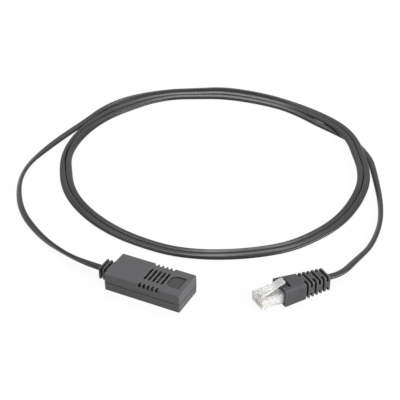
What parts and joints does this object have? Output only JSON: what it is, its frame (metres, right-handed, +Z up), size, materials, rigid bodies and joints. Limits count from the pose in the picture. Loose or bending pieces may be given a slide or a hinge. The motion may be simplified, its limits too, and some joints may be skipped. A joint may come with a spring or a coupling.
{
  "type": "rack temperature sensor",
  "caption": "Small vented temperature sensor head on a long flat coiled cord with a strain relief and a booted clear modular plug, for monitoring the air in an equipment rack.",
  "frame": {"origin": "middle of the sensor head's underside, on the table", "axes": "+X along the head, from its cord end to its label end; +Z up out of the vented roof"},
  "size_m": [0.2509, 0.2677, 0.0142],
  "materials": {
    "head_plastic": "finely textured moulding",
    "board_laminate": "solder mask",
    "chip_epoxy": "moulded epoxy",
    "tinned_copper": "tinned",
    "chip_ceramic": "fired ceramic",
    "wire_red": "satin insulation",
    "wire_green": "satin insulation",
    "wire_yellow": "satin insulation",
    "wire_black": "satin insulation",
    "cord_jacket": "satin extruded jacket",
    "grip_rubber": "matte",
    "boot_rubber": "matte",
    "plug_clear": "clear polycarbonate",
    "contact_gold": "gold plated"
  },
  "bodies": {
    "root": {"housing_top": "head_plastic", "housing_bottom": "head_plastic", "circuit_board": "board_laminate", "temperature_chip": "chip_epoxy", "chip_legs": "tinned_copper", "filter_capacitor": "chip_ceramic", "pullup_resistor": "chip_epoxy", "cord_grip": "grip_rubber", "sensor_lead": "cord_jacket", "cord_coil": "cord_jacket", "plug_lead": "cord_jacket", "plug_boot": "boot_rubber", "plug_body": "plug_clear", "head_wire_1": "wire_red", "plug_wire_1": "wire_red", "head_wire_2": "wire_green", "plug_wire_2": "wire_green", "head_wire_3": "wire_yellow", "plug_wire_3": "wire_yellow", "head_wire_4": "wire_black", "plug_wire_4": "wire_black", "plug_contact_1": "contact_gold", "plug_contact_2": "contact_gold", "plug_contact_3": "contact_gold", "plug_contact_4": "contact_gold", "plug_contact_5": "contact_gold", "plug_contact_6": "contact_gold", "plug_contact_7": "contact_gold", "plug_contact_8": "contact_gold"}
  },
  "joints": []
}
